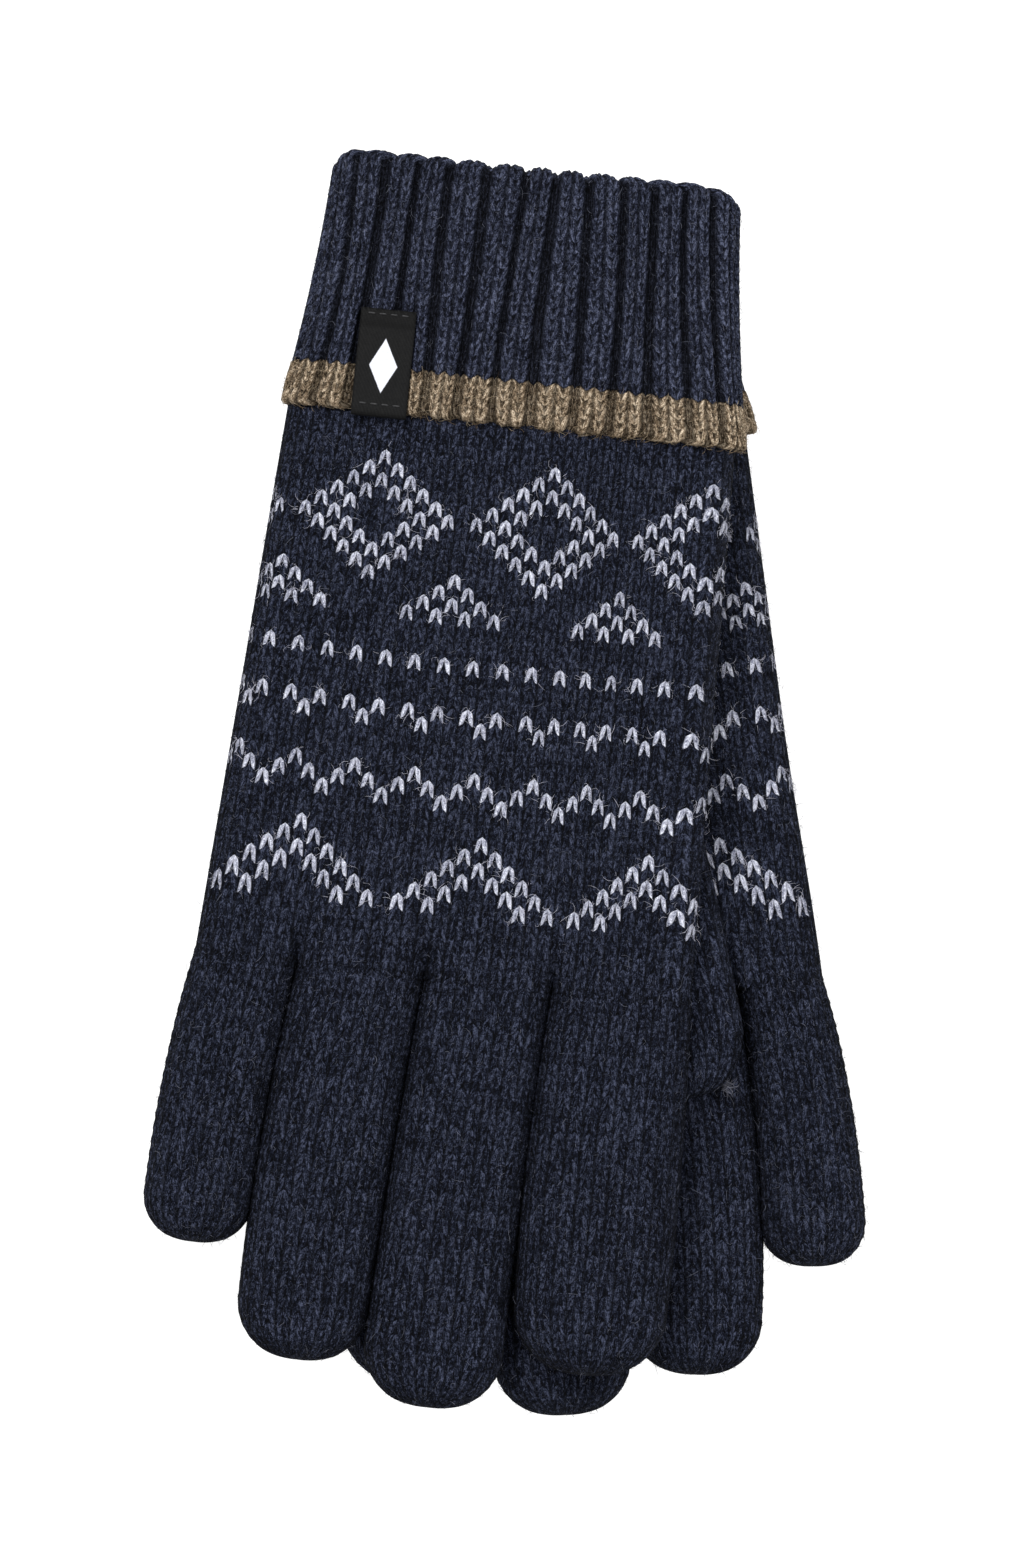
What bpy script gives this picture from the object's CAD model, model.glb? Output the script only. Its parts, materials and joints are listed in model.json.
import json

import bpy
import numpy as np
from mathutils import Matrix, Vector


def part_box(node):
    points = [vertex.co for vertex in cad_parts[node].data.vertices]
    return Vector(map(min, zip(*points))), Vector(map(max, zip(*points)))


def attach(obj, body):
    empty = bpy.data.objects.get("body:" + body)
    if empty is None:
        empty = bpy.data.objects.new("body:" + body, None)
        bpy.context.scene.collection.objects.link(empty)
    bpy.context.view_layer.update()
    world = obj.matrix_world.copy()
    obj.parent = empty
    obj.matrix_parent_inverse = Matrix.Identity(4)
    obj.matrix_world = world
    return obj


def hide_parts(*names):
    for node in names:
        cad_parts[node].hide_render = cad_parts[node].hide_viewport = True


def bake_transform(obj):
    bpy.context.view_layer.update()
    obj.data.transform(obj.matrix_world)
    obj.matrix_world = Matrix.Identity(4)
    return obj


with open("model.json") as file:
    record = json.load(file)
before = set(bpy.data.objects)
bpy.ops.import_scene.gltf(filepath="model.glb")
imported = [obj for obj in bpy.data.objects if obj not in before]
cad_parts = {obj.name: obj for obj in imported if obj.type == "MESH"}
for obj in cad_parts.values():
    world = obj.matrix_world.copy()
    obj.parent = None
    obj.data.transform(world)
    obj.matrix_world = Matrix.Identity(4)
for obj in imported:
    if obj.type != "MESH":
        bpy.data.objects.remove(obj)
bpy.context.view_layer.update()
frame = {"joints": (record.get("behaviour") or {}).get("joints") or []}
mm = 0.001
dice = np.random.default_rng(7)


# Each glove is worked out in its own millimetres: u across towards the thumb, v along towards the
# cuff with v = 0 at the cuff's lower edge, z up from its underside. Its origin and the direction of
# u come from the little finger's joint, which both gloves have.

joints = {j["name"]: j for j in frame["joints"]}
littleHinge = {"u": -44.2, "v": -114.4}


# A glove's directions from its hinge's axis, and its origin back from the hinge along both of them.
def gloveFrame(side):
    hinge = joints[side + "_little_flex"]
    along = np.array(hinge["axis"][:2])
    uAxis = -along if side == "upper" else along
    vAxis = np.array([-uAxis[1], uAxis[0]]) if side == "upper" else np.array([uAxis[1], -uAxis[0]])
    pivot = np.array(hinge["pos_m"][:2]) / mm
    origin = pivot - uAxis * littleHinge["u"] - vAxis * littleHinge["v"]
    return {"side": side, "u": uAxis, "v": vAxis, "origin": origin,
            "lift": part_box(side + "_hand")[0].z / mm}


# Point in metres = origin + u times the u direction + v times the v direction, at the glove's lift.
# The lower glove is pressed flat where it rests on the floor.
def placed(own, points):
    u, v, z = points[..., 0], points[..., 1], points[..., 2]
    x = own["origin"][0] + u * own["u"][0] + v * own["v"][0]
    y = own["origin"][1] + u * own["u"][1] + v * own["v"][1]
    z = np.maximum(z, 0.02) if own["side"] == "lower" else z
    return np.stack([x, y, z + own["lift"]], axis=-1) * mm


# 0 before low, 1 after high, and a smooth S between them.
def smoothStep(low, high, x):
    t = np.clip((x - low) / (high - low), 0, 1)
    return t * t * (3 - 2 * t)


# The quadratic curve through three values at s = 0, 0.5 and 1.
def through(values, s):
    a, b, c = values
    return a * (1 - s) * (1 - 2 * s) + b * 4 * s * (1 - s) + c * s * (2 * s - 1)


# A flat section with half-round sides: share runs from the left edge over the top to the right
# edge at a half, and back underneath. Returns x and z from the middle.
def stadium(share, halfWide, halfHigh):
    flat = np.maximum(halfWide - halfHigh, 0.01)
    quarter = np.pi / 2 * halfHigh
    length = 4 * flat + 4 * quarter
    onTop = share < 0.5
    along = np.where(onTop, share, 1 - share) * length
    turnIn = np.clip(along / halfHigh, 0, np.pi / 2)
    straight = np.clip(along - quarter, 0, 2 * flat)
    turnOut = np.clip((along - quarter - 2 * flat) / halfHigh, 0, np.pi / 2)
    x = -flat - halfHigh * np.cos(turnIn) + straight + halfHigh * np.sin(turnOut)
    z = halfHigh * np.minimum(np.sin(turnIn), np.cos(turnOut))
    return x, np.where(onTop, z, -z)


glove = {
    "thick": 13.0,          # flattened hand and fingers
    "wall": 1.7,            # knitted wall
    "handLength": 114.0,
    "handWide": 92.0,
    "handFlare": 10.3,
    "slim": {"upper": 0.0, "lower": 1.1},   # taken off the hand on the little finger's side
    "tipRound": 0.86,       # length of a tip's round against half its width
    "crotchEase": 18.0,     # how far above the crotches the creases start
    "thumbThick": 6.0,
    "thumbSwing": 40.0,     # degrees that the thumb can swing out
    "thumbRoom": (13.2, 17.2),  # the palm is lifted this near to the thumb's middle, then falls
    "crown": 0.035,         # how much fuller a finger is than its root
    "crease": 0.97,         # depth of a crease at its crotch, as a share of the half thickness
    "droop": 2.6,           # how far the free end of the upper glove settles
}

# A digit: plan positions of its base, middle and end, and its width at each of them.
digits = {
    "little": {"u": (-43.5, -47.1, -48.4), "v": (-114.4, -144.6, -174.2), "wide": (21.4, 22.4, 22.0)},
    "ring": {"u": (-19.7, -23.2, -24.5), "v": (-114.4, -155.0, -196.0), "wide": (26.4, 27.4, 26.2)},
    "middle": {"u": (6.7, 4.3, 3.2), "v": (-114.4, -158.2, -203.0), "wide": (26.6, 27.6, 28.8)},
    "index": {"u": (34.1, 34.2, 35.0), "v": (-114.4, -154.0, -193.0), "wide": (28.6, 32.0, 30.0)},
    "thumb": {"u": (28.0, 38.4, 50.9), "v": (-66.0, -93.4, -134.0), "wide": (25.0, 25.6, 26.0)},
    "lowerLittle": {"u": (-44.9, -48.4, -48.3), "v": (-114.4, -144.6, -174.0), "wide": (18.4, 20.6, 22.2)},
    "lowerRing": {"u": (-21.1, -23.9, -22.2), "v": (-114.4, -155.0, -194.8), "wide": (29.2, 29.2, 26.2)},
    "lowerMiddle": {"u": (6.7, 5.2, 5.2), "v": (-114.4, -158.2, -201.4), "wide": (26.6, 27.6, 28.8)},
}
digitNames = ("little", "ring", "middle", "index", "thumb")


# Three of the lower glove's fingers lie a little differently, and its little finger is slimmer at
# its root, to pass the upper glove's thumb.
def digitShape(side, name):
    own = side + name.capitalize()
    return own if own in digits else name


# The creases between the fingers, across the hand.
crotches = np.array([-32.9, -6.55, 19.95])


# Middle and width of the hand: both change evenly from the cuff to the crotches.
def handCentre(v):
    return -0.5 - 2.3 * np.clip(-v / glove["handLength"], 0, 1)


def handWide(v):
    return glove["handWide"] + glove["handFlare"] * np.clip(-v / glove["handLength"], 0, 1)


# How much the folded thumb lifts the palm at (u, v): all within the fan that the thumb swings
# through, falling away over a few millimetres. The fan is read in polar coordinates about its pivot.
def thumbLift(u, v):
    thumb = digits["thumb"]
    pu, pv = thumb["u"][0], thumb["v"][0]
    tipU, tipV = thumb["u"][2] - pu, thumb["v"][2] - pv
    reach = np.hypot(tipU, tipV) - thumb["wide"][2] / 2
    first = np.arctan2(tipV, tipU)
    du, dv = u - pu, v - pv
    angle = np.clip(np.arctan2(dv, du), first, first + np.radians(glove["thumbSwing"]))
    along = np.clip(du * np.cos(angle) + dv * np.sin(angle), 0, reach)
    away = np.hypot(du - along * np.cos(angle), dv - along * np.sin(angle))
    return (glove["thumbThick"] + 0.5) * (1 - smoothStep(*glove["thumbRoom"], away))


# The underside rises over the thumb and the top stays: z is squeezed between the two.
def overThumb(u, v, z):
    lift = thumbLift(u, v)
    return lift + z * (glove["thick"] - lift) / glove["thick"]


# A glove lies unevenly: a slow swell of a few tenths of a millimetre, from crossed sines.
def swell(u, v):
    return (0.22 * np.sin(u * 0.11 + v * 0.05 + 0.6) + 0.18 * np.sin(v * 0.13 - u * 0.06 + 2.1)
            + 0.12 * np.sin(u * 0.29 + 1.1) * np.sin(v * 0.21 + 0.4))


# The hand: a stadium section that flares to the knuckles. Towards the crotches the height is cut
# down near each crotch line as the rounded sides of two neighbouring fingers would be.
def handSurface(side, share, v, depth):
    half = glove["thick"] / 2
    slim = glove["slim"][side] * (1 - smoothStep(60, 112, -v)) / 2
    x, z = stadium(share, handWide(v) / 2 - slim - depth, half - depth)
    u = handCentre(v) + slim + x
    near = np.min(np.abs(u[..., None] - crotches), axis=-1)
    toCrotch = glove["handLength"] + v
    part = glove["crease"] * smoothStep(0, glove["crotchEase"], glove["crotchEase"] - toCrotch)
    cut = half * (1 - np.sqrt(1 - (part * np.clip(1 - near / half, 0, 1)) ** 2))
    z = np.sign(z) * np.maximum(np.abs(z) - cut, 0.1 * np.abs(z) / half)
    zHigh = overThumb(u, v, half + z) + np.where(z > 0, swell(u, v), 0)
    return np.stack([u, v + 0 * u, zHigh], axis=-1)


# Length of a digit's centre line, base to middle to end.
def spineLength(digit):
    knots = np.array([digit["u"], digit["v"]])
    return np.linalg.norm(knots[:, 1] - knots[:, 0]) + np.linalg.norm(knots[:, 2] - knots[:, 1])


# A digit: q is the distance from its base along the skin. Up to the round of the tip the section
# follows the centre line; over the tip it turns through a quarter circle in plan, and the thumb does
# the same behind its base, where it grows out of the palm.
def digitSurface(name, share, q, depth, thick):
    digit = digits[name]
    length = spineLength(digit)
    radius = digit["wide"][2] / 2 * glove["tipRound"]
    straight = length - radius
    turn = np.clip((q - straight) / radius, 0, np.pi / 2 * 0.985)
    s = np.where(q < straight, q, straight + radius * np.sin(turn)) / length
    half = thick / 2
    end = np.clip((1 - s) * length, 0, half)
    if name == "thumb":
        root = digit["wide"][0] / 2
        rootTurn = np.clip(-q / root, 0, np.pi / 2 * 0.985)
        s = np.where(q < 0, -root * np.sin(rootTurn) / length, s)
        end = np.minimum(end, np.clip(s * length + root, 0, half))
        turn = np.maximum(turn, rootTurn)
    halfHigh = np.sqrt(np.maximum(half ** 2 - (half - end) ** 2, 0.01)) - depth
    halfWide = through(digit["wide"], s) / 2 * np.cos(turn) ** 0.88 - depth
    halfHigh = np.maximum(halfHigh, 0.12)
    halfWide = np.maximum(halfWide, halfHigh + 0.05)
    crown = 1 + glove["crown"] * smoothStep(0, 16, q) if name != "thumb" else 1.0
    x, z = stadium(share, halfWide, halfHigh)
    step = 0.01
    du = through(digit["u"], s + step) - through(digit["u"], s - step)
    dv = through(digit["v"], s + step) - through(digit["v"], s - step)
    size = np.hypot(du, dv)
    lean = smoothStep(0, 14, q) if name != "thumb" else 1.0
    acrossU, acrossV = -dv / size * lean + (1 - lean), du / size * lean
    u = through(digit["u"], s) + x * acrossU
    v = through(digit["v"], s) + x * acrossV
    z = half + z * crown
    if name != "thumb":
        z = overThumb(u, v, z) + np.where(z > half, swell(u, v), 0)
    return np.stack([u, v + 0 * u, z], axis=-1)


# Length of a digit's skin: its centre line, with a quarter circle in place of the last radius.
def skinLength(name):
    digit = digits[name]
    return spineLength(digit) + digit["wide"][2] / 2 * glove["tipRound"] * (np.pi / 2 - 1)


# The upper glove's free end settles on the lower one, most of all its little finger.
def settled(side, points):
    if side == "lower":
        return points
    u, v = points[..., 0], points[..., 1]
    drop = glove["droop"] * smoothStep(4, 60, -v)
    edge = smoothStep(20, 56, -u) * smoothStep(40, 170, -v) * 2.2
    moved = points.copy()
    moved[..., 2] -= drop + edge
    return moved


gloves = {side: gloveFrame(side) for side in ("lower", "upper")}


# A fabric grid has sheared rows: every row dips by `shear` rows from the middle of a wale to its
# sides, so grid lines follow the two legs of each stitch. Column places are in wales, row places
# in courses, and both go to the UV map, where the material finds each leg again.

knit = {
    "course": 2.40,         # height of one row of stitches at the pattern's start
    "stretch": 0.0044,      # growth of that height per row towards the fingers
    "fingerCourse": 2.7,
    "wale": 3.2,            # width of a column of stitches on the fingers
    "shear": 0.45,          # courses that a row drops over half a wale
    "relief": 0.42,         # how far a leg stands up
    "tuck": 0.97,           # height of a finger's hidden first rows
    "tuckedIn": 1.75,       # how far a finger starts inside the hand
    "fine": 8,              # grid columns to a wale where the fabric shows
    "coarse": 4,            # and where it lies underneath
    "perCourse": 4,         # grid rows to a course
}


# A leg of a stitch: within half a wale it leans outwards as the row goes on and narrows to its end.
leg = {"start": 0.27, "lean": 0.37, "half": 0.39, "taper": 0.34, "long": 0.60}


# Distance from the middle of a leg, 1 at its edge: the square of the distance across it in half
# widths, and the sixth power of that along it, for x in wales and y in sheared courses.
def legDistance(x, y):
    a = np.abs(2 * (x - np.floor(x)) - 1)
    b = y - np.floor(y)
    half = leg["half"] * (1 - leg["taper"] * b ** 2)
    across = (a - leg["start"] - leg["lean"] * b) / half
    return np.sqrt(across ** 2 + ((b - 0.5) / leg["long"]) ** 6)


# Height of a leg's round back above its edge, 0 to 1.
def legHeight(x, y):
    return np.sqrt(np.clip(1 - legDistance(x, y) ** 2, 0, 1))


# Grid columns in wales: close ones over the wales that show, wider ones over the rest.
def columnPlaces(first, fineWales, allWales):
    fine = np.arange(fineWales * knit["fine"]) / knit["fine"]
    coarse = np.arange((allWales - fineWales) * knit["coarse"]) / knit["coarse"]
    return np.concatenate([fine, fineWales + coarse]) + first


# Grid rows in courses, from one course to another.
def coursePlaces(firstCourse, lastCourse):
    return np.arange(firstCourse * knit["perCourse"], lastCourse * knit["perCourse"] + 1) / knit["perCourse"]


# How far a row dips at a place in the wale: nothing in the middle, the whole shear at its sides.
def stitchDip(x):
    return (np.abs(2 * (x - np.floor(x)) - 1) * knit["shear"])[None, :]


# Joins a stack of rings into a closed mesh: quads between neighbouring rings, and either a last
# band back to the first ring or a fan at each end. Faces are turned to point outwards.
def ringMesh(name, rings, uPlaces, vPlaces, wrapRows, period):
    rowCount, columnCount = rings.shape[:2]
    index = np.arange(rowCount * columnCount).reshape(rowCount, columnCount)
    below = index if wrapRows else index[:-1]
    above = np.roll(index, -1, axis=0) if wrapRows else index[1:]
    faces = np.stack([below, np.roll(below, -1, 1), np.roll(above, -1, 1), above], axis=-1)
    nextU = np.append(uPlaces[1:], uPlaces[0] + period)
    lowV = vPlaces if wrapRows else vPlaces[:-1]
    highV = np.roll(vPlaces, -1, axis=0) if wrapRows else vPlaces[1:]
    corner = np.empty(faces.shape + (2,))
    corner[..., 0, 0] = corner[..., 3, 0] = uPlaces
    corner[..., 1, 0] = corner[..., 2, 0] = nextU
    corner[..., 0, 1] = corner[..., 1, 1] = lowV[:, None]
    corner[..., 2, 1] = corner[..., 3, 1] = highV[:, None]
    points = rings.reshape(-1, 3)
    quads, uv = faces.reshape(-1, 4), corner.reshape(-1, 4, 2)
    triangles, triangleUv = np.zeros((0, 3), int), np.zeros((0, 3, 2))
    if not wrapRows:
        points = np.concatenate([points, rings[:1].mean(axis=1), rings[-1:].mean(axis=1)])
        start, end = len(points) - 2, len(points) - 1
        first, last = index[0], index[-1]
        triangles = np.concatenate([
            np.stack([np.roll(first, -1), first, np.full(columnCount, start)], axis=-1),
            np.stack([last, np.roll(last, -1), np.full(columnCount, end)], axis=-1)])
        middle = (uPlaces + nextU) / 2
        fans = ((nextU, uPlaces, vPlaces[0]), (uPlaces, nextU, vPlaces[-1]))
        triangleUv = np.concatenate([
            np.stack([np.stack([place, np.full(columnCount, v)], -1) for place in (a, b, middle)], axis=1)
            for a, b, v in fans])
    a, b, c, d = (points[quads[:, k]] for k in range(4))
    volume = np.sum(a * np.cross(b, c)) + np.sum(a * np.cross(c, d))
    if volume < 0:
        quads, uv = quads[:, ::-1], uv[:, ::-1]
        triangles, triangleUv = triangles[:, ::-1], triangleUv[:, ::-1]
    piece = meshPiece(name, points, quads, triangles)
    turned = 1 - np.abs(ringNormals(rings)[..., 2])
    band = turned if wrapRows else turned[:-1]
    faceAttribute(piece, "turned", np.concatenate([band.ravel(), np.ones(len(triangles))]))
    piece.data.uv_layers.new(name="stitch").data.foreach_set(
        "uv", np.concatenate([uv.reshape(-1, 2), triangleUv.reshape(-1, 2)]).astype(np.float32).ravel())
    return piece


# An object from points, four-sided faces and then three-sided ones, all smooth.
def meshPiece(name, points, quads, triangles):
    mesh = bpy.data.meshes.new(name)
    mesh.vertices.add(len(points))
    mesh.vertices.foreach_set("co", points.astype(np.float32).ravel())
    loops = np.concatenate([quads.ravel(), triangles.ravel()])
    starts = np.concatenate([np.arange(len(quads)) * 4, len(quads) * 4 + np.arange(len(triangles)) * 3])
    mesh.loops.add(len(loops))
    mesh.loops.foreach_set("vertex_index", loops.astype(np.int32))
    mesh.polygons.add(len(starts))
    mesh.polygons.foreach_set("loop_start", starts.astype(np.int32))
    mesh.update(calc_edges=True)
    mesh.polygons.foreach_set("use_smooth", np.ones(len(starts), bool))
    piece = bpy.data.objects.new(name, mesh)
    bpy.context.scene.collection.objects.link(piece)
    return piece


# Outward normals of stacked rings, from the differences along and across them.
def ringNormals(rings):
    around = np.roll(rings, -1, axis=1) - np.roll(rings, 1, axis=1)
    along = np.gradient(rings, axis=0)
    normal = np.cross(around, along)
    size = np.linalg.norm(normal, axis=-1, keepdims=True)
    return normal / np.maximum(size, 1e-9)


# One number for each face, which a material reads by its name.
def faceAttribute(piece, name, values):
    attribute = piece.data.attributes.new(name, "FLOAT", "FACE")
    attribute.data.foreach_set("value", values.astype(np.float32))


# Counted in stitches c from the middle of a diamond and rows r up from it. The figures repeat
# every 12 wales: a ring diamond, half diamonds between, dots, a dotted line, a zigzag and chevrons.
def chart(c, r):
    near = np.abs((c + 6) % 12 - 6)
    light = ((near + np.abs(r) == 3) | (near + np.abs(r) == 5)) & (np.abs(r) <= 5)
    between = np.abs((c % 12) - 6)
    k = -r - 5
    light |= (k >= 0) & (k <= 3) & ((between == k) | ((between == k - 2) & (k >= 2)))
    light |= (r == -12) & (c % 2 == 0)
    light |= (r == -16) & (c % 2 == 0)
    light |= (r == -17) & (c % 4 == 1)
    light |= (r == -21) & (c % 4 == 1)
    light |= (r == -22) & (c % 2 == 0)
    light |= (r == -23) & (c % 4 == 3)
    peak = np.abs((c + 8) % 12 - 6)
    k = -r - 26
    light |= (k >= 0) & (k <= 5) & ((peak == k) | ((peak == k - 2) & (k >= 2)))
    return light


# Where the chart lies: wales over the back, its left edge, wales all round, and the place of row 0.
chartPlace = {"top": 34.4, "left": -20.16, "around": 72, "zero": -21.4}


# Wale place to share of the section: the back and the palm are each even, the back a little wider.
# Towards the thumb's side the wales close up a little before the edge.
def handShare(x):
    x = (x - chartPlace["left"]) % chartPlace["around"]
    top, rest = chartPlace["top"], chartPlace["around"] - chartPlace["top"]
    s = x / top
    s = s - 0.027 * smoothStep(0.6, 0.9, s) * np.clip((1 - s) / 0.065, 0, 1)
    return np.where(x < top, s / 2, 0.5 + (x - top) / rest / 2)


# Rows bow up towards the little finger's edge: millimetres at a wale place, most at the edge itself.
def rowBow(x):
    x = (x - chartPlace["left"]) % chartPlace["around"]
    near = np.maximum(np.clip(1 - x / 16, 0, 1), np.clip(1 - (chartPlace["around"] - x) / 16, 0, 1))
    return 2.7 * near ** 1.5


# The piece is a sleeve: an outer fabric grid and a plain inner wall, joined at both ends.
def knitHand(side):
    first = int(np.floor(chartPlace["left"])) - 2
    x = columnPlaces(first, 40, chartPlace["around"])
    firstCourse, lastCourse = -9, 37
    courses = coursePlaces(firstCourse, lastCourse)
    dip = stitchDip(x) * smoothStep(-8, -5, courses)[:, None]
    rows = courses[:, None] + dip - 0.5 - knit["shear"] / 2
    v = chartPlace["zero"] - knit["course"] * rows - knit["stretch"] * rows ** 2
    v = v + rowBow(x)[None, :] * smoothStep(0, 12, rows) * (1 - smoothStep(28, 33, rows))
    share = handShare(x)[None, :] * np.ones_like(v)
    outer = handSurface(side, share, v, 0)
    height = legHeight(x[None, :], courses[:, None] + 0 * v)
    outer += ringNormals(outer) * (height[..., None] - 0.6) * knit["relief"]
    innerV = np.linspace(v[-1], v[0], 12)
    inner = handSurface(side, share[:12], innerV, glove["wall"])
    rings = placed(gloves[side], settled(side, np.concatenate([outer, inner])))
    places = np.concatenate([courses, np.linspace(courses[-1], courses[0], 12)])
    piece = ringMesh(side + "_hand_knit", rings, x, places, True, chartPlace["around"])
    middleX = np.floor(x + 0.01)
    middleR = -np.floor(courses + 0.01)
    light = np.zeros((len(places), len(x)))
    light[:len(courses)] = chart(middleX[None, :], middleR[:, None])
    faceAttribute(piece, "lightYarn", light.ravel())
    return piece, rings[:len(courses)], light[:len(courses)]


# A finger or thumb: the inner wall from its tip to the base, then the fabric out to the tip.
def knitDigit(side, name):
    thick = glove["thumbThick"] if name == "thumb" else glove["thick"]
    shape = digitShape(side, name)
    digit = digits[shape]
    perimeter = 2 * (digit["wide"][1] - thick) + np.pi * thick
    around = int(round(perimeter / knit["wale"]))
    topWales = around // 2 + 2
    if name == "thumb":
        left = 0.0
    else:
        arc = digit["u"][0] - handCentre(digit["v"][0])
        pitch = (2 * (handWide(digit["v"][0]) - thick) + np.pi * thick) / 2 / chartPlace["top"]
        middle = chartPlace["left"] + chartPlace["top"] / 2 + arc / pitch
        left = middle - around / 4
    x = columnPlaces(int(np.floor(left)) - 1, topWales + 1, around)
    share = ((x - left) % around) / around
    whole = skinLength(shape)
    tuckedIn = digit["wide"][0] / 2 * np.pi / 2 if name == "thumb" else knit["tuckedIn"]
    count = int(np.ceil((whole + tuckedIn - knit["tuckedIn"]) / knit["fingerCourse"]))
    courses = coursePlaces(0, count)
    fade = 1 - smoothStep(count - 4.5, count, courses)
    dip = stitchDip(x) * fade[:, None]
    q = np.minimum((courses[:, None] + dip) * (whole + tuckedIn) / count - tuckedIn, whole)
    shares = share[None, :] * np.ones_like(q)
    outer = digitSurface(shape, shares, q, 0, thick)
    height = legHeight(x[None, :], courses[:, None] + 0 * q)
    size = np.clip(np.linalg.norm(np.roll(outer, -1, 1) - outer, axis=-1).mean(axis=1) / 0.35, 0, 1)
    outer += ringNormals(outer) * (height[..., None] - 0.6) * knit["relief"] * size[:, None, None]
    outer[:2, :, 2] = thick / 2 + (outer[:2, :, 2] - thick / 2) * knit["tuck"]
    innerQ = np.linspace(whole * 0.93, 0, 12)[:, None] + 0 * x[None, :] + dip[:1]
    wall = 1.0 if name == "thumb" else glove["wall"]
    inner = digitSurface(shape, share[None, :] * np.ones_like(innerQ), innerQ, wall, thick)
    rings = placed(gloves[side], settled(side, np.concatenate([inner, outer])))
    places = np.concatenate([np.linspace(courses[-1], courses[0], 12), courses])
    return ringMesh(f"{side}_{name}_knit", rings, x, places, False, around), rings[12:-6]


# The cuff is a two by two rib: two wales stand up as one rib and the two purl wales between ribs
# sink into a narrow furrow, counted here as a third, narrow wale.

cuff = {
    "thick": 15.4,          # over the turned-up cuff
    "edgeWide": 96.2,
    "foldWide": {"upper": 84.0, "lower": 79.0},
    "length": {"upper": 53.0, "lower": 50.5},
    "trim": 9.6,            # height of the contrast edging
    "ribs": 27,             # ribs all round
    "ribShare": 0.82,       # share of a rib's pitch that stands up
    "furrow": 1.9,          # depth of the furrow
    "foldRadius": 2.1,
    "hidden": 2.7,          # depth of the wall behind the ribs
    "inside": 5.0,          # how far the fold runs down inside
    "course": 2.3,
    "phase": 0.35,          # place of the first rib, in ribs
}

# The woven label, and how far it stands off the ribs.
label = {"u": -27.9, "wide": 11.4, "high": 20.6, "edge": -1.1, "thick": 0.38, "turned": 2.0, "over": 0.22}


# The cuff: a stadium section that narrows from its lower edge to the fold, quickly at first.
def cuffSurface(side, share, v, depth):
    s = v / cuff["length"][side]
    half = cuff["thick"] / 2
    wide = cuff["edgeWide"] + (cuff["foldWide"][side] - cuff["edgeWide"]) * s * (1.6 - 0.6 * s)
    x, z = stadium(share, wide / 2 - depth, half - depth)
    u = -0.1 - 0.4 * s + x
    return np.stack([u, v + 0 * u, half + z], axis=-1)


# Height of the rib at a place counted in wales, 0 in the furrow and 1 on the crest: a squared arch
# with a shallow groove between its two wales.
def ribHeight(x):
    w = (x % 3) / 2
    arch = np.sqrt(np.clip(1 - np.abs(2 * np.clip(w, 0, 1) - 1) ** 3.2, 0, 1))
    return np.where(w < 1, arch - 0.12 * np.exp(-((w - 0.5) / 0.09) ** 2), 0)


# Grid columns of the rib, three places to a rib: close ones over the ribs that show.
def ribColumns(fineRibs):
    fine = np.concatenate([np.arange(16) / 8, 2 + np.arange(4) / 4])
    coarse = np.concatenate([np.arange(8) / 4, 2 + np.arange(2) / 2])
    return np.concatenate([(fine[None, :] + 3 * np.arange(fineRibs)[:, None]).ravel(),
                           (coarse[None, :] + 3 * np.arange(fineRibs, cuff["ribs"])[:, None]).ravel()])


# Share of the section at a wale place. The ribs lie a little unevenly: each one's place is nudged
# by a slow wave round the cuff that also drifts along it.
def ribShare(x, v=0.0):
    edge = cuff["ribShare"] + 0.05 * np.sin(np.floor(x / 3) * 2.4)
    part = x % 3
    inRib = np.where(part <= 2, part / 2 * edge, edge + (part - 2) * (1 - edge))
    place = (np.floor(x / 3) + inRib + cuff["phase"] - 1) / cuff["ribs"]
    turn = 2 * np.pi * place
    wave = 0.10 * np.sin(3 * turn + 0.05 * v) + 0.06 * np.sin(7 * turn - 0.07 * v + 1.3)
    return (place + wave / cuff["ribs"]) % 1


# Marks the faces that lie in a furrow, which the wool's material darkens.
def flagValleys(piece, x, rowCount):
    faceAttribute(piece, "ribValley", np.tile((x % 3 >= 2).astype(float), rowCount))


# How far the fold drops at the corners of the cuff.
def cornerDrop(share):
    return 2.4 * smoothStep(0.82, 1.0, np.abs(4 * (share % 0.5) - 1))


# Place along the fold: up the outside, round the fold in a half circle, and down the inside.
def foldPath(t, low, foldTop):
    radius = cuff["foldRadius"]
    rise = foldTop - radius - low
    turn = np.clip((t - rise) / radius, 0, np.pi)
    v = low + np.minimum(t, rise) + radius * np.sin(turn) - np.maximum(t - rise - np.pi * radius, 0)
    return v, radius * (1 - np.cos(turn))


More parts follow.
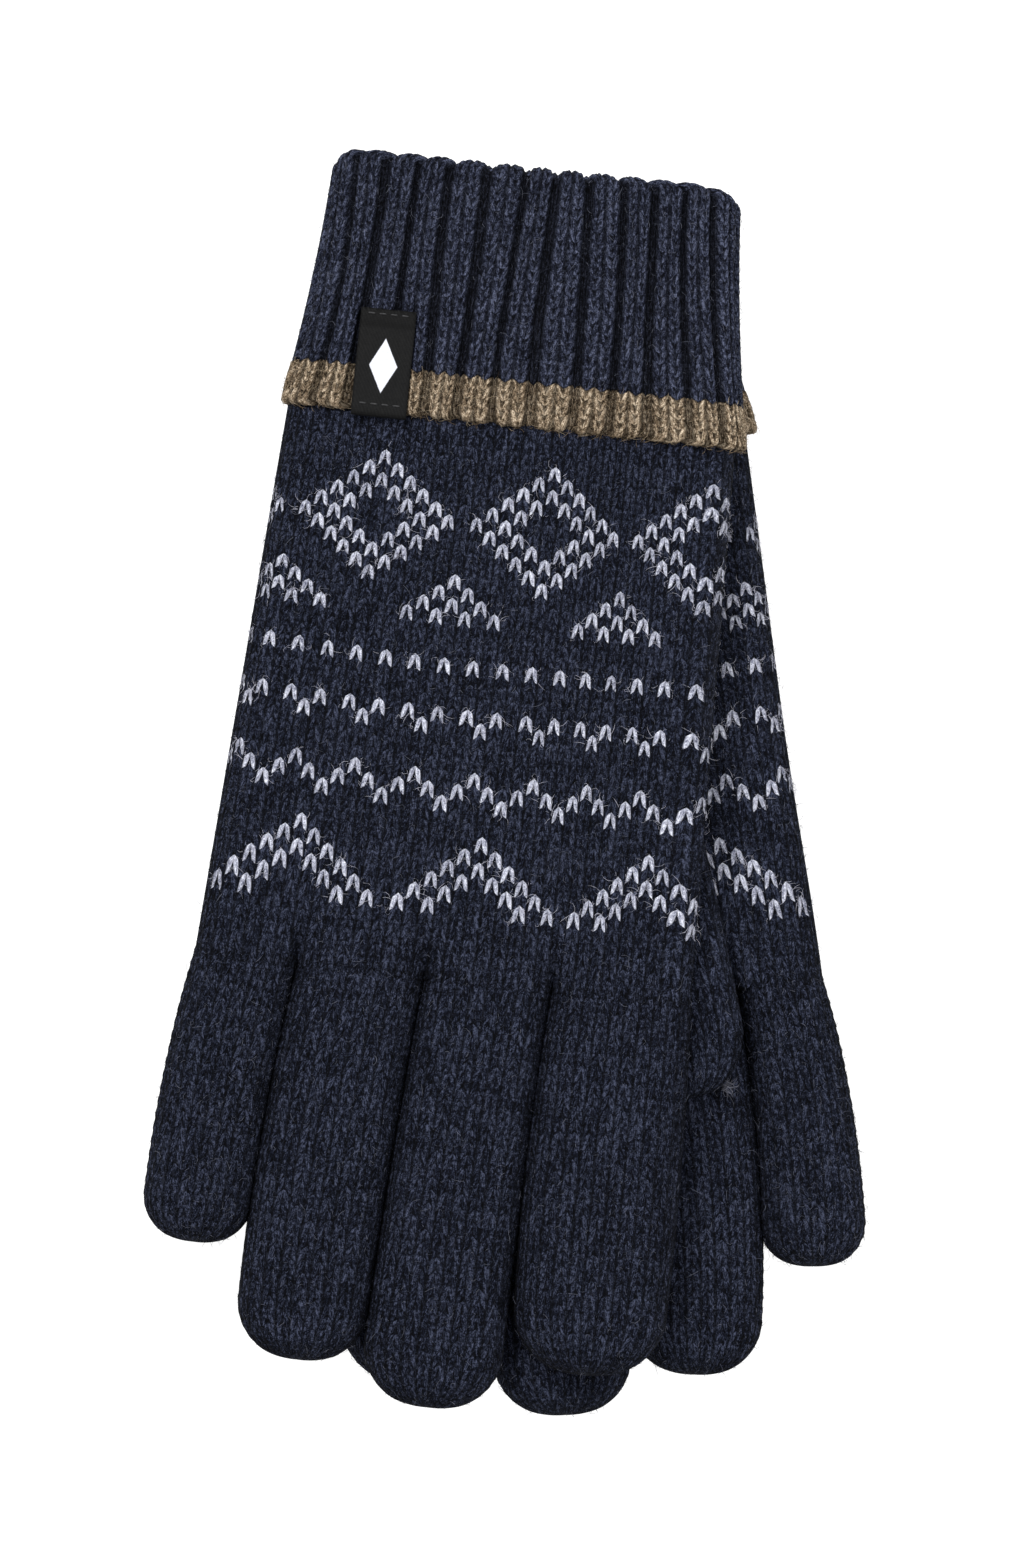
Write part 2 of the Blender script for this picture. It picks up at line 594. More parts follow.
# The fabric rows run up the outside and over the fold; a plain wall closes it from behind.
def knitTurnup(side):
    x = ribColumns(15)
    low, top = cuff["trim"], cuff["length"][side]
    radius = cuff["foldRadius"]
    whole = top - radius - low + np.pi * radius + cuff["inside"]
    count = int(round(whole / cuff["course"]))
    courses = coursePlaces(0, count)
    dip = stitchDip(x)
    fade = 1 - smoothStep(count - 4, count, courses)
    t = np.minimum((courses[:, None] + (dip - 0.6) * fade[:, None]) * whole / count, whole)
    v, depth = foldPath(t, low, top - cornerDrop(ribShare(x))[None, :])
    rib = ribHeight(x)[None, :]
    share = ribShare(x[None, :], v)
    outer = cuffSurface(side, share, v, depth)
    normal = ringNormals(outer)
    height = legHeight(x[None, :], courses[:, None] + 0 * v)
    lift = (height - 0.6) * knit["relief"] * (rib > 0.2) - (1 - rib) * cuff["furrow"]
    outer += normal * lift[..., None]
    back = [(top - radius - cuff["inside"], 3.3), (top - radius - 0.6, 3.3),
            (top - radius - 0.6, cuff["hidden"]), (low, cuff["hidden"])]
    walls = []
    for backV, backDepth in back:
        level = np.full((1, len(x)), backV) - (dip * 0.3 if backV == low else 0)
        walls.append(cuffSurface(side, share[:1], level, backDepth))
    rings = placed(gloves[side], np.concatenate([outer] + walls))
    places = np.concatenate([courses, np.full(4, courses[-1])])
    piece = ringMesh(side + "_cuff_turnup_knit", rings, x, places, True, 3 * cuff["ribs"])
    flagValleys(piece, x, len(places))
    shown = rings[:-4 - 4 * knit["perCourse"]]
    return piece, shown, clearOfLabel(outer[:len(shown)])


# Places on the cuff that the label does not cover.
def clearOfLabel(points):
    near = np.abs(points[..., 0] - label["u"]) < label["wide"] / 2 + 0.6
    return ~(near & (points[..., 1] < label["high"] + 0.6))


# The edging: a rounded lower edge, slightly scalloped by the ribs, and four courses above it.
def knitTrim(side):
    x = ribColumns(15)
    count = 4
    courses = coursePlaces(0, count)
    dip = stitchDip(x)
    rib = ribHeight(x)[None, :]
    radius = cuff["hidden"] / 2
    edge = 0.9 - 0.55 * rib
    top = cuff["trim"] + (dip - 0.6) * cuff["course"]
    part = courses[:, None] / count
    level = cuff["trim"] - 0.6 * cuff["course"]
    v = edge + (level - edge) * part + dip * cuff["course"] * smoothStep(0, 1.6, courses)[:, None]
    share = ribShare(x[None, :], v)
    outer = cuffSurface(side, share, v, 0)
    normal = ringNormals(outer)
    height = legHeight(x[None, :], courses[:, None] + 0 * v)
    bulge = 0.25 * np.sin(np.pi * part)
    lift = (height - 0.5) * knit["relief"] * 1.25 * (rib > 0.2) - (1 - rib) * cuff["furrow"] * 0.85 + bulge
    outer += normal * lift[..., None]
    turn = np.linspace(0, np.pi, 6)[1:, None]
    depth = radius * (1 - np.cos(turn)) + (1 - rib) * cuff["furrow"] * 0.85 * (1 + np.cos(turn)) / 2
    lower = cuffSurface(side, share[:5], edge - radius * 0.7 * np.sin(turn), depth)
    upper = cuffSurface(side, share[:1], top - 0.2, np.full((1, len(x)), cuff["hidden"]))
    rings = placed(gloves[side], np.concatenate([upper, lower[::-1], outer]))
    places = np.concatenate([np.zeros(6), courses])
    piece = ringMesh(side + "_cuff_trim_knit", rings, x, places, True, 3 * cuff["ribs"])
    flagValleys(piece, x, len(places))
    shown = np.concatenate([lower[::-1], outer])
    return piece, rings[1:], clearOfLabel(shown)


# The layer inside the cuff: plain behind, ribbed where it shows in the mouth of the glove.
def knitCuffInner(side):
    x = ribColumns(0)
    top = cuff["length"][side] - cuff["foldRadius"] - cuff["inside"] + 0.6
    count = int(round(top / cuff["course"]))
    courses = np.arange(0, count * 2 + 1) / 2
    depth = 2 * cuff["foldRadius"]
    v = top - courses[:, None] / count * top + 0 * x[None, :]
    share = ribShare(x[None, :], v)
    inner = cuffSurface(side, share, v, depth + 0.5 * (1 - ribHeight(x))[None, :])
    backV = np.linspace(0, top, 3)[:, None] + 0 * x[None, :]
    outer = cuffSurface(side, share[:3], backV, cuff["hidden"] + 0.1)
    rings = placed(gloves[side], np.concatenate([inner, outer]))
    places = np.concatenate([courses, np.full(3, courses[-1])])
    piece = ringMesh(side + "_cuff_inner_knit", rings, x, places, True, 3 * cuff["ribs"])
    flagValleys(piece, x, len(places))
    return piece


# The brushed lining: depths of its two faces under the knitted surface, and its grid.
lining = {"outer": 1.9, "inner": 3.1, "columns": 96, "rows": 40}


# A plain sleeve inside the hand, following the same section two walls down.
def fleeceHand(side):
    share = (np.arange(lining["columns"]) / lining["columns"])[None, :] + np.zeros((lining["rows"], 1))
    v = np.linspace(-0.6, -113.0, lining["rows"])[:, None] + 0 * share
    outer = handSurface(side, share, v, lining["outer"])
    inner = handSurface(side, share, v, lining["inner"])[::-1]
    rings = placed(gloves[side], settled(side, np.concatenate([outer, inner])))
    places = np.concatenate([v[:, 0], v[::-1, 0]])
    return ringMesh(side + "_hand_fleece", rings, share[0] * 100, places, True, 100)


# A finger's lining: an inner and an outer wall that meet before the tip.
def fleeceDigit(side, name):
    thumb = name == "thumb"
    thick = glove["thumbThick"] if thumb else glove["thick"]
    outerDepth, innerDepth = (1.2, 1.9) if thumb else (lining["outer"], lining["inner"])
    share = (np.arange(48) / 48)[None, :] + np.zeros((24, 1))
    shape = digitShape(side, name)
    whole = skinLength(shape)
    q = np.linspace(0.6, whole * 0.95, 24)[:, None] + 0 * share
    outer = digitSurface(shape, share, q, outerDepth, thick)
    inner = digitSurface(shape, share, q * 0.96 + 0.02, innerDepth, thick)[::-1]
    rings = placed(gloves[side], settled(side, np.concatenate([inner, outer])))
    places = np.concatenate([q[::-1, 0], q[:, 0]])
    return ringMesh(f"{side}_{name}_fleece", rings, share[0] * 50, places, False, 50)


# Loose fibres stand out of the wool. Each is a three-sided hair of four stations that starts at a
# random place on the fabric, leaves it at a low angle and curls over.

fuzz = {
    "radius": 0.040,
    "shortest": 0.8,
    "longest": 3.2,
    "rise": 0.66,           # most that a hair climbs for each millimetre
    "curl": 1.1,            # spread of its turn at each station
    "rooted": 0.05,         # depth of its root in the wool
    "floorClear": 0.06,
}


# Hairs from starting points with their normals: all other values are one number per hair.
def strands(name, start, normal, tangent, heading, bend, rise, long, radius):
    count = len(start)
    other = np.cross(normal, tangent)
    corners = np.arange(3) * 2 * np.pi / 3
    point, stations = start, []
    for k, share in enumerate((1.0, 1.0, 0.75)):
        turn = (heading + bend * k)[:, None]
        ahead = tangent * np.cos(turn) + other * np.sin(turn)
        aside = np.cross(normal, ahead)
        acrossPart, outPart = np.cos(corners)[None, :, None], np.sin(corners)[None, :, None]
        out = aside[:, None] * acrossPart + normal[:, None] * outPart
        stations.append(point[:, None] + out * radius * share)
        point = point + (ahead + normal * (rise * (1 - 0.35 * k))[:, None]) * (long / 3)[:, None]
        point[:, 2] = np.maximum(point[:, 2], fuzz["floorClear"] * mm)
    points = np.concatenate(stations + [point[:, None]], axis=1)
    first = np.arange(count)[:, None, None] * 10
    side = np.array([[a + i, a + (i + 1) % 3, a + 3 + (i + 1) % 3, a + 3 + i]
                     for a in (0, 3) for i in range(3)])
    ends = np.array([[6 + i, 6 + (i + 1) % 3, 9] for i in range(3)] + [[2, 1, 0]])
    quads, triangles = (first + side).reshape(-1, 4), (first + ends).reshape(-1, 3)
    hair = meshPiece(name, points.reshape(-1, 3), quads, triangles)
    tone = dice.uniform(0, 1, count)
    faceAttribute(hair, "tone", np.concatenate([np.repeat(tone, 6), np.repeat(tone, 4)]))
    return hair


# Fuzz on a stack of rings, from the places that are clear, with the pale yarn's flag where it is.
def fuzzHairs(name, rings, light, count, clear=None):
    rows = dice.integers(1, rings.shape[0] - 1, count)
    columns = dice.integers(0, rings.shape[1], count)
    if clear is not None:
        keep = clear[rows, columns]
        rows, columns = rows[keep], columns[keep]
        count = len(rows)
    normal = ringNormals(rings)[rows, columns]
    tangent = np.roll(rings, -1, axis=1)[rows, columns] - rings[rows, columns]
    tangent /= np.maximum(np.linalg.norm(tangent, axis=1, keepdims=True), 1e-12)
    heading, bend = dice.uniform(0, 2 * np.pi, count), dice.normal(0, fuzz["curl"], count)
    rise = dice.uniform(0, 1, count) ** 2 * fuzz["rise"]
    long = dice.uniform(fuzz["shortest"], fuzz["longest"], count) * mm
    start = rings[rows, columns] - normal * fuzz["rooted"] * mm
    hair = strands(name, start, normal, tangent, heading, bend, rise, long, fuzz["radius"] * mm)
    pale = np.zeros(count) if light is None else light[rows, columns]
    faceAttribute(hair, "lightYarn", np.concatenate([np.repeat(pale, 6), np.repeat(pale, 4)]))
    return hair


# The yarn's cut end at the tip of the upper thumb: a short frayed tuft.
tuft = {"u": 57.2, "v": -131.0, "z": 3.4, "count": 36, "long": (1.6, 4.2), "radius": 0.07, "pale": 0.12}


# Hairs from places scattered about one point, each heading outwards from the thumb with some spread.
def thumbTuft():
    count = tuft["count"]
    centre = np.array([tuft["u"], tuft["v"], tuft["z"]])
    points = centre + dice.normal(0, 0.45, (count, 3))
    start = placed(gloves["upper"], settled("upper", points))
    outwards = np.array([*gloves["upper"]["u"], 0.15])
    normal = outwards + dice.normal(0, 0.35, (count, 3))
    normal /= np.linalg.norm(normal, axis=1, keepdims=True)
    tangent = np.cross(normal, (0.0, 0.0, 1.0))
    tangent /= np.linalg.norm(tangent, axis=1, keepdims=True)
    heading, bend = dice.uniform(0, 2 * np.pi, count), dice.normal(0, 0.7, count)
    long = dice.uniform(*tuft["long"], count) * mm
    rise = dice.uniform(0.5, 1.8, count)
    hair = strands("upper_thumb_tuft", start, normal, tangent, heading, bend, rise, long, tuft["radius"] * mm)
    faceAttribute(hair, "lightYarn", np.repeat(tuft["pale"], count * 10))
    return hair


# A woven strip: up the face of the cuff from its edge, with a second leg turned down over the edge.
# The path is a polyline with a rounded corner, carried across the strip's width.
def wovenLabel(side):
    face = cuff["thick"] + label["over"]
    corner = 0.7
    turn = np.linspace(0, np.pi / 2, 7)
    down = np.stack([np.full(4, label["edge"]), np.linspace(face - label["turned"], face - corner, 4)], -1)
    bend = np.stack([label["edge"] + corner * (1 - np.cos(turn)), face - corner + corner * np.sin(turn)], -1)
    up = np.stack([np.linspace(label["edge"] + corner, label["high"], 30), np.full(30, face)], -1)
    path = np.concatenate([down, bend[1:], up[1:]])
    step = np.gradient(path, axis=0)
    step /= np.linalg.norm(step, axis=1, keepdims=True)
    normal = np.stack([-step[:, 1], step[:, 0]], -1)
    length = np.concatenate([[0], np.cumsum(np.linalg.norm(np.diff(path, axis=0), axis=1))])
    across = np.linspace(-0.5, 0.5, 15)
    hem = 0.22 * smoothStep(length[-1] - 3.4, length[-1] - 3.0, length)
    sag = 0.10 * np.cos(across * 40) * smoothStep(2, 6, length)[:, None]
    rings = []
    for offset, turnBack in ((0.0, 1), (1.0, -1)):
        high = offset * (label["thick"] + hem[:, None]) + sag
        v = path[:, 0][:, None] + normal[:, 0][:, None] * high
        z = path[:, 1][:, None] + normal[:, 1][:, None] * high
        u = label["u"] + label["wide"] * across[None, :] + 0 * v
        rings.append(np.stack([u, v, z], -1)[:, ::turnBack])
    points = placed(gloves[side], np.concatenate(rings, axis=1))
    columns = np.concatenate([across, across[::-1] + 0.001])
    piece = ringMesh(side + "_label_woven", points, columns, length, False, 0.0)
    return piece, length[-1]


# Sewing thread: short stitches in two rows, each a low arch that enters the label at both ends.
thread = {"radius": 0.16, "long": 1.5, "pitch": 2.3, "count": 4, "rise": 0.1}


# Each stitch is a tube on a half sine, thinned at its ends.
def labelStitches(side):
    along = np.linspace(0, 1, 7)
    turn = np.arange(8) / 8 * 2 * np.pi
    arch = np.sin(np.pi * along)
    top = cuff["thick"] + label["over"] + label["thick"]
    parts = []
    for v, lift in ((label["high"] - 1.0, 0.22), (label["edge"] + 2.2, 0.0)):
        for i in range(thread["count"]):
            middle = label["u"] + (i - (thread["count"] - 1) / 2) * thread["pitch"]
            u = middle + (along - 0.5) * thread["long"]
            radius = thread["radius"] * np.sqrt(np.clip(1 - (2 * along - 1) ** 6, 0.05, 1))
            high = top + lift + thread["rise"] * arch
            ring = np.stack([u[:, None] + 0 * turn, v + radius[:, None] * np.cos(turn),
                             high[:, None] + radius[:, None] * np.sin(turn)], -1)
            part = ringMesh("stitch", placed(gloves[side], ring), np.arange(8) / 8, along, False, 1.0)
            parts.append(part)
    with bpy.context.temp_override(active_object=parts[0], selected_editable_objects=parts, object=parts[0]):
        bpy.ops.object.join()
    parts[0].name = side + "_label_thread"
    return parts[0]


# A shader socket that adds a Math node for each operator used on it.
class Socket:
    def __init__(self, tree, output):
        self.tree, self.output = tree, output

    def math(self, operation, *values):
        node = self.tree.nodes.new("ShaderNodeMath")
        node.operation = operation
        for slot, value in zip(node.inputs, values):
            if isinstance(value, Socket):
                self.tree.links.new(value.output, slot)
            else:
                slot.default_value = value
        return Socket(self.tree, node.outputs[0])

    def __add__(self, other):
        return self.math("ADD", self, other)

    def __radd__(self, other):
        return self.math("ADD", other, self)

    def __sub__(self, other):
        return self.math("SUBTRACT", self, other)

    def __rsub__(self, other):
        return self.math("SUBTRACT", other, self)

    def __mul__(self, other):
        return self.math("MULTIPLY", self, other)

    def __rmul__(self, other):
        return self.math("MULTIPLY", other, self)

    def __truediv__(self, other):
        return self.math("DIVIDE", self, other)

    def __pow__(self, other):
        return self.math("POWER", self, other)

    def __abs__(self):
        return self.math("ABSOLUTE", self)


# A material with one Principled shader, and short ways to the nodes that its colours need.
class Shader:
    def __init__(self, name):
        self.material = bpy.data.materials.new(name)
        self.material.use_nodes = True
        self.tree = self.material.node_tree
        self.tree.nodes.clear()
        self.surface = self.tree.nodes.new("ShaderNodeBsdfPrincipled")
        out = self.tree.nodes.new("ShaderNodeOutputMaterial")
        self.tree.links.new(self.surface.outputs[0], out.inputs[0])

    # A node by its type: settings first, then values or links for its sockets, by name or number.
    def node(self, kind, settings=None, sockets=None, output=0):
        made = self.tree.nodes.new(kind)
        for key, value in (settings or {}).items():
            if key == "stops":
                ramp = made.color_ramp
                while len(ramp.elements) < len(value):
                    ramp.elements.new(0.5)
                for element, (place, colour) in zip(ramp.elements, value):
                    element.position = place
                    element.color = (*colour, 1)
            else:
                setattr(made, key, value)
        for key, value in (sockets or {}).items():
            self.feed(made.inputs[key], value)
        return Socket(self.tree, made.outputs[output])

    def feed(self, slot, value):
        if isinstance(value, Socket):
            self.tree.links.new(value.output, slot)
        elif hasattr(value, "__len__") and len(value) == 3 and slot.type == "RGBA":
            slot.default_value = (*value, 1)
        else:
            slot.default_value = value

    def set(self, **sockets):
        for name, value in sockets.items():
            self.feed(self.surface.inputs[name.replace("_", " ")], value)

    def attribute(self, name):
        return self.node("ShaderNodeAttribute", {"attribute_name": name}, output=2)

    def objectPlace(self):
        return self.node("ShaderNodeTexCoord", output=3)

    def ramp(self, value, *stops):
        return self.node("ShaderNodeValToRGB", {"stops": stops}, {0: value})

    def scaled(self, colour, amount):
        return self.node("ShaderNodeVectorMath", {"operation": "SCALE"}, {0: colour, "Scale": amount})

    def chance(self, x, y, z):
        own = {"Vector": self.vector(x, y, z)}
        return self.node("ShaderNodeTexWhiteNoise", {"noise_dimensions": "3D"}, own)

    def bump(self, height, strength, distance):
        sizes = {"Strength": strength, "Distance": distance, "Height": height}
        return self.node("ShaderNodeBump", None, sizes)

    def mixColour(self, factor, a, b):
        return self.node("ShaderNodeMix", {"data_type": "RGBA"}, {0: factor, 6: a, 7: b}, output=2)

    def smooth(self, value, low, high):
        return self.node("ShaderNodeMapRange", {"interpolation_type": "SMOOTHSTEP"},
                         {"Value": value, "From Min": low, "From Max": high})

    def vector(self, x, y, z):
        return self.node("ShaderNodeCombineXYZ", None, {0: x, 1: y, 2: z})

    def noise(self, vector, scale, detail, rough):
        return self.node("ShaderNodeTexNoise", {"noise_dimensions": "3D"},
                         {"Vector": vector, "Scale": scale, "Detail": detail, "Roughness": rough})


# sRGB from 0 to 255 to the linear values that a shader takes.
def paint(r, g, b):
    c = np.array([r, g, b]) / 255
    return tuple(float(x) for x in np.where(c <= 0.04045, c / 12.92, ((c + 0.055) / 1.055) ** 2.4))


# Each leg of a stitch is found from the UV map by the same formula as in the mesh. Fibre streaks
# run along the leg, each leg has its own tone, and the gaps between the legs are darker.
def woolMaterial(name, dark, mid, light, lightYarn=None, rib=0.0):
    shader = Shader(name)
    uv = shader.node("ShaderNodeUVMap", {"uv_map": "stitch"})
    x = shader.node("ShaderNodeSeparateXYZ", None, {0: uv})
    y = shader.node("ShaderNodeSeparateXYZ", None, {0: uv}, output=1)
    xPart, yPart = x.math("FRACT", x), y.math("FRACT", y)
    xCell, yCell = x - xPart, y - yPart
    half = xPart.math("GREATER_THAN", xPart, 0.5)
    legTone = shader.chance(xCell, yCell, half)
    legShift = shader.chance(yCell, half + 7.5, xCell)
    a = abs(xPart * 2.0 - 1.0) + (legShift - 0.5) * 0.12
    lean = a - yPart * leg["lean"] - leg["start"]
    width = (1.0 - yPart ** 2.0 * leg["taper"]) * (leg["half"] * 0.92 + legTone * (leg["half"] * 0.2))
    edge = (lean / width) ** 2.0 + (abs(yPart - 0.5) / leg["long"]) ** 6.0
    streakPlace = shader.vector(lean * 5.2 + xCell * 3.7, yPart * 1.5 + yCell * 5.3, half * 2.3 + xCell)
    fibre = shader.noise(streakPlace, 1.5, 3, 0.75)
    place = shader.objectPlace()
    fleck = shader.noise(place, 1400.0, 3, 0.7)
    grain = shader.noise(place, 3600.0, 2, 0.7)
    tone = (fibre - 0.5) * 2.2 + (fleck - 0.5) * 1.7 + (grain - 0.5) * 1.5 + (legTone - 0.5) * 0.2 + 0.5
    wool = shader.ramp(tone, (0.08, dark), (0.5, mid), (1.0, light))
    ragged = edge + (fleck - 0.5) * 1.4 + (grain - 0.5) * 0.9
    if lightYarn:
        flag = shader.attribute("lightYarn")
        inside = 1.0 - shader.smooth(ragged, 0.9, 1.4)
        pale = shader.ramp(tone, *zip((0.05, 0.5, 1.0), lightYarn))
        wool = shader.mixColour(flag * inside, wool, pale)
    gutter = shader.smooth(edge + (fleck - 0.5) * 0.7, 0.45, 1.35)
    shade = 1.0 - gutter * 0.72
    if rib:
        valley = shader.attribute("ribValley")
        shade = shade * (1.0 - valley * rib)
    turned = shader.attribute("turned")
    shade = shade * (1.0 - shader.smooth(turned, 0.15, 1.0) * 0.5)
    high = 1.0 - shader.smooth(edge, 0.0, 1.3) + fibre * 0.4 + fleck * 0.25
    shader.set(Base_Color=shader.scaled(wool, shade), Roughness=0.92, Normal=shader.bump(high, 0.8, 0.0004))
    shader.set(Specular_IOR_Level=0.1)
    return shader.material


# Hairs: a dark, middle or light tone for each one, or the pale yarn's where it grows from that.
def hairMaterial(name, dark, mid, light, pale):
    shader = Shader(name)
    tone = shader.attribute("tone")
    flag = shader.attribute("lightYarn")
    own = shader.ramp(tone, (0.0, dark), (0.6, mid), (1.0, light))
    shader.set(Base_Color=shader.mixColour(flag, own, pale), Roughness=0.8)
    shader.set(Specular_IOR_Level=0.2)
    return shader.material


# Brushed fleece: a soft grey with a short uneven nap.
def fleeceMaterial():
    shader = Shader("fleece")
    place = shader.objectPlace()
    nap = shader.noise(place, 900.0, 4, 0.7)
    clumps = shader.noise(place, 240.0, 2, 0.5)
    colour = shader.ramp(nap * 0.6 + clumps * 0.4, (0.3, paint(24, 25, 32)), (0.7, paint(70, 71, 82)))
    shader.set(Base_Color=colour, Roughness=0.95, Normal=shader.bump(nap * 0.5 + clumps, 0.6, 0.0004))
    shader.set(Specular_IOR_Level=0.1, Sheen_Weight=0.25, Sheen_Roughness=0.6)
    return shader.material


# Woven satin: fine slanting floats, a darker turned hem and a plain pale lozenge woven in.
def labelMaterial():
    shader = Shader("labelSatin")
    uv = shader.node("ShaderNodeUVMap", {"uv_map": "stitch"})
    x = shader.node("ShaderNodeSeparateXYZ", None, {0: uv})
    y = shader.node("ShaderNodeSeparateXYZ", None, {0: uv}, output=1)
    across = x * label["wide"]
    lozenge = abs(across) / 2.9 + abs(y - 11.8) / 5.6
    slant, level = across * 9.0 + y * 5.0, y * 17.0
    weave, rows = slant.math("SINE", slant), level.math("SINE", level)
    place = shader.objectPlace()
    fleck = shader.noise(place, 1800.0, 2, 0.5)
    mark = 1.0 - shader.smooth(lozenge + (fleck - 0.5) * 0.06, 0.96, 1.03)
    satin, mist = fleck * 0.6 + weave * 0.1 + 0.2, fleck * 0.6 + rows * 0.12 + 0.2
    black = shader.ramp(satin, (0.25, paint(9, 9, 10)), (0.8, paint(26, 26, 26)))
    pale = shader.ramp(mist, (0.2, paint(214, 217, 230)), (0.8, paint(242, 243, 250)))
    hem = shader.smooth(y, 19.6, 19.9) * 0.25
    colour = shader.mixColour(mark, shader.scaled(black, 1.0 - hem), pale)
    bump = shader.bump(weave * 0.5 + rows * 0.3 + mark * 0.8, 0.25, 0.0001)
    shader.set(Base_Color=colour, Roughness=0.6, Normal=bump)
    shader.set(Specular_IOR_Level=0.12)
    return shader.material


# Sewing thread: two greys mixed along its ply.
def threadMaterial():
    shader = Shader("sewingThread")
    place = shader.objectPlace()
    ply = shader.noise(place, 2400.0, 2, 0.5)
    colour = shader.ramp(ply, (0.3, paint(30, 30, 31)), (0.7, paint(66, 66, 68)))
    shader.set(Base_Color=colour, Roughness=0.6)
    return shader.material


wools = {
    "navy": woolMaterial("navyWool", paint(3, 4, 9), paint(20, 24, 37), paint(78, 84, 106),
                         lightYarn=(paint(80, 83, 102), paint(174, 177, 195), paint(243, 245, 255))),
    "navyRib": woolMaterial("navyRibWool", paint(4, 5, 12), paint(37, 41, 57), paint(98, 104, 127),
                            rib=0.75),
    "tan": woolMaterial("tanWool", paint(34, 25, 16), paint(136, 117, 95), paint(232, 214, 188), rib=0.55),
    "navyHair": hairMaterial("navyHair", paint(12, 14, 22), paint(52, 55, 68), paint(120, 123, 138),
                             paint(196, 196, 210)),
    "tanHair": hairMaterial("tanHair", paint(70, 54, 38), paint(150, 130, 104), paint(205, 188, 160),
                            paint(200, 184, 160)),
    "fleece": fleeceMaterial(),
    "label": labelMaterial(),
    "thread": threadMaterial(),
}


# Hairs on each piece of fabric; those of the pattern are kept only where they start on pale yarn.
hairCounts = {"hand": 6500, "pattern": 22000, "digit": 1700, "turnup": 3200, "trim": 2600}


# Names a piece's finish and the CAD solids it stands for, and fixes it to one body, or bends it
# from the first body to the second between two places along a digit.
def finish(piece, material, nodes, bodies, span=None):
    piece.data.materials.append(wools[material])
    if nodes:
        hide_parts(*nodes)
    if span is None:
        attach(piece, bodies[0])
    else:
        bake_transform(piece)


# Where a digit's fabric starts and stops bending: two points on its centre line, in metres.
def bendSpan(side, name):
    digit = digits[name]
    low, high = (2.0, 16.0) if name == "thumb" else (0.3, 15.0)
    base = np.array([digit["u"][0], digit["v"][0]])
    middle = np.array([digit["u"][1], digit["v"][1]])
    ahead = middle - base if name == "thumb" else np.array([0.0, -1.0])
    ahead /= np.linalg.norm(ahead)
    ends = np.array([[*(base + ahead * reach), 6.5] for reach in (low, high)])
    return [tuple(point) for point in placed(gloves[side], ends)]


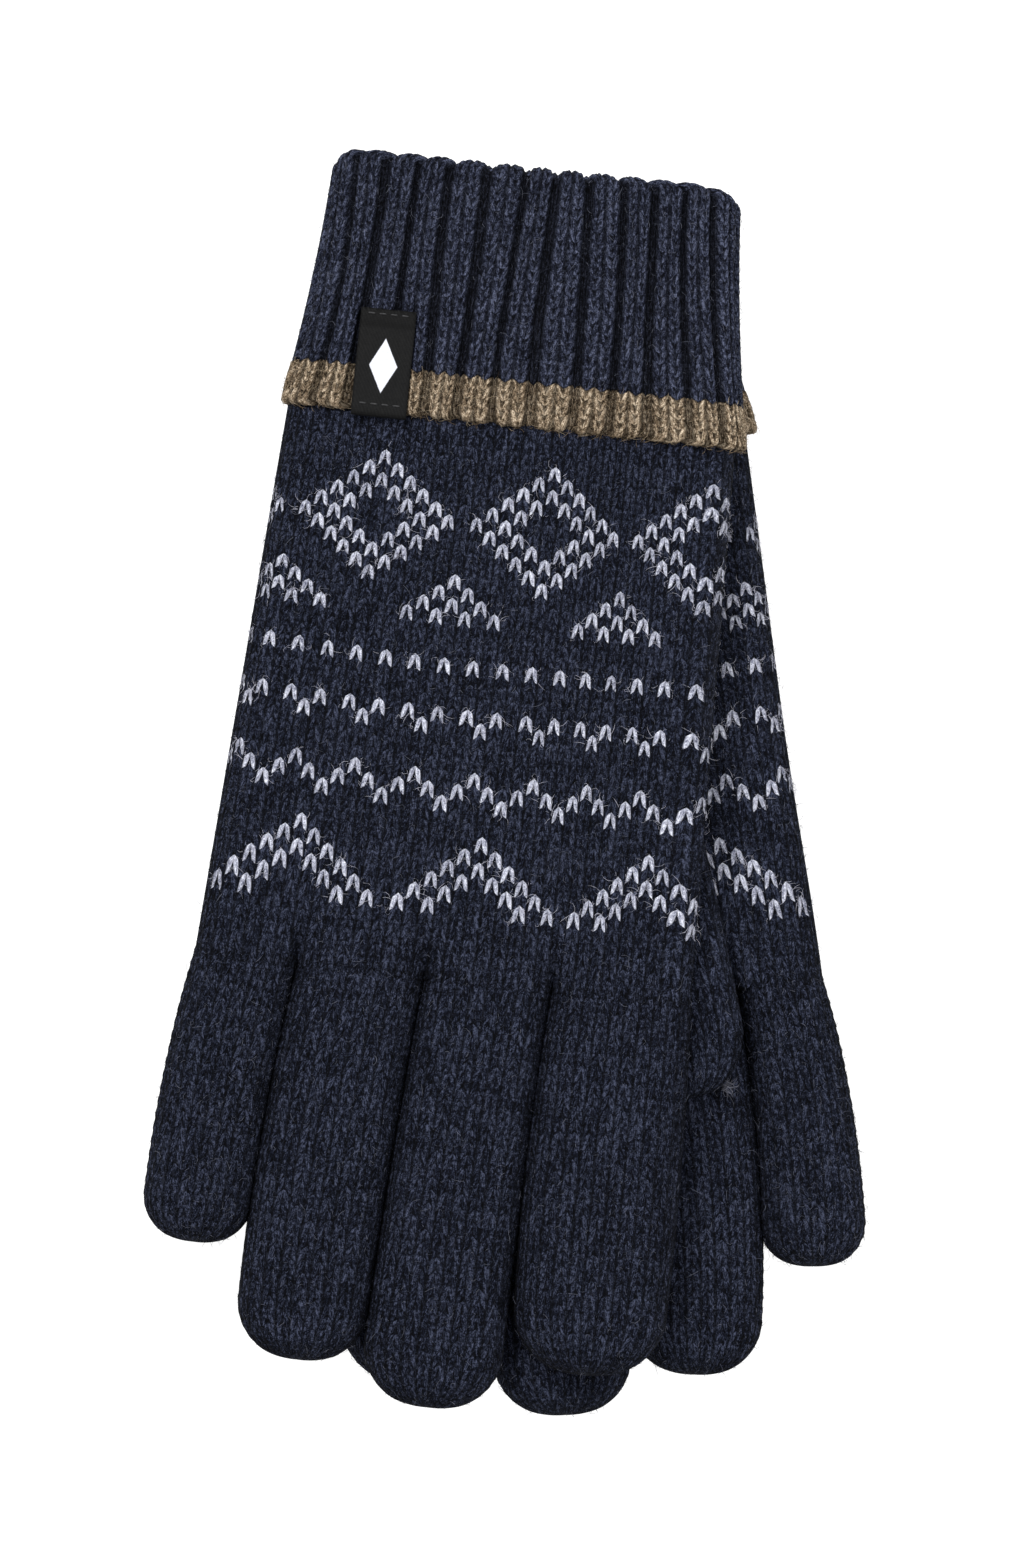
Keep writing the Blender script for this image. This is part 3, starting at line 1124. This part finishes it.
for side in ("lower", "upper"):
    base = side + "_glove"
    piece, rings, light = knitHand(side)
    finish(piece, "navy", [side + "_hand"], [base])
    back, backLight = rings[12:, :40 * knit["fine"]], light[12:, :40 * knit["fine"]]
    hair = fuzzHairs(side + "_hand_fuzz", back, backLight, hairCounts["hand"])
    finish(hair, "navyHair", [], [base])
    hair = fuzzHairs(side + "_pattern_fuzz", back, backLight, hairCounts["pattern"], backLight > 0.5)
    finish(hair, "navyHair", [], [base])
    finish(fleeceHand(side), "fleece", [side + "_hand_lining"], [base])
    for name in digitNames:
        node = f"{side}_{name}" + ("" if name == "thumb" else "_finger")
        fixed = side == "lower" and name in ("index", "middle", "ring")
        bodies = [base] if fixed else [base, f"{side}_{name}_body"]
        span = None if fixed else bendSpan(side, name)
        piece, rings = knitDigit(side, name)
        finish(piece, "navy", [node], bodies, span)
        hair = fuzzHairs(f"{side}_{name}_fuzz", rings, None, hairCounts["digit"])
        finish(hair, "navyHair", [], bodies, span)
        finish(fleeceDigit(side, name), "fleece", [f"{side}_{name}_lining"], bodies, span)
    piece, rings, clear = knitTurnup(side)
    finish(piece, "navyRib", [side + "_cuff_turnup"], [base])
    hair = fuzzHairs(side + "_cuff_fuzz", rings, None, hairCounts["turnup"], clear)
    finish(hair, "navyHair", [], [base])
    finish(knitCuffInner(side), "navyRib", [side + "_cuff_inner"], [base])
    piece, rings, clear = knitTrim(side)
    finish(piece, "tan", [side + "_cuff_trim"], [base])
    hair = fuzzHairs(side + "_trim_fuzz", rings, None, hairCounts["trim"], clear)
    finish(hair, "tanHair", [], [base])
    strip, stripLength = wovenLabel(side)
    finish(strip, "label", [side + "_label"], [base])
    finish(labelStitches(side), "thread", [side + "_label_stitches"], [base])
    print("made the", side, "glove")

finish(thumbTuft(), "navyHair", [], ["upper_thumb_body"])


# A pale floor, two soft lamps and a camera straight above.
def stage():
    floorMesh = bpy.data.meshes.new("floor")
    floorMesh.from_pydata([(-4, -4, 0), (4, -4, 0), (4, 4, 0), (-4, 4, 0)], [], [(0, 1, 2, 3)])
    floor = bpy.data.objects.new("floor", floorMesh)
    bpy.context.scene.collection.objects.link(floor)
    floor.location.z = -0.0004
    pale = Shader("paleFloor")
    pale.set(Base_Color=(0.3, 0.3, 0.3), Roughness=0.9, Emission_Color=(1, 1, 1), Emission_Strength=0.96)
    pale.set(Specular_IOR_Level=0.0)
    floorMesh.materials.append(pale.material)
    world = bpy.data.worlds.new("studio")
    world.use_nodes = True
    world.node_tree.nodes["Background"].inputs[0].default_value = (1, 1, 1, 1)
    world.node_tree.nodes["Background"].inputs[1].default_value = 0.55
    bpy.context.scene.world = world
    lamps = (("key", (-0.55, 0.75, 1.3), 0.7, 17), ("fill", (0.9, -0.2, 1.1), 0.9, 7))
    for name, place, size, power in lamps:
        light = bpy.data.lights.new(name, "AREA")
        light.size = size
        light.energy = power
        lamp = bpy.data.objects.new(name, light)
        lamp.location = place
        lamp.rotation_euler = (-Vector(place)).to_track_quat("-Z", "Y").to_euler()
        bpy.context.scene.collection.objects.link(lamp)
    camera = bpy.data.cameras.new("camera")
    view = {"height": 1.7, "tall": 0.3161, "x": 0.00133, "y": 0.00315}
    camera.lens = 36 * (view["height"] - 0.03) / view["tall"]
    eye = bpy.data.objects.new("camera", camera)
    eye.location = (view["x"], view["y"], view["height"])
    bpy.context.scene.collection.objects.link(eye)
    bpy.context.scene.camera = eye
    bpy.context.scene.view_settings.view_transform = "Standard"
    print("set the floor, the light and the camera")


stage()
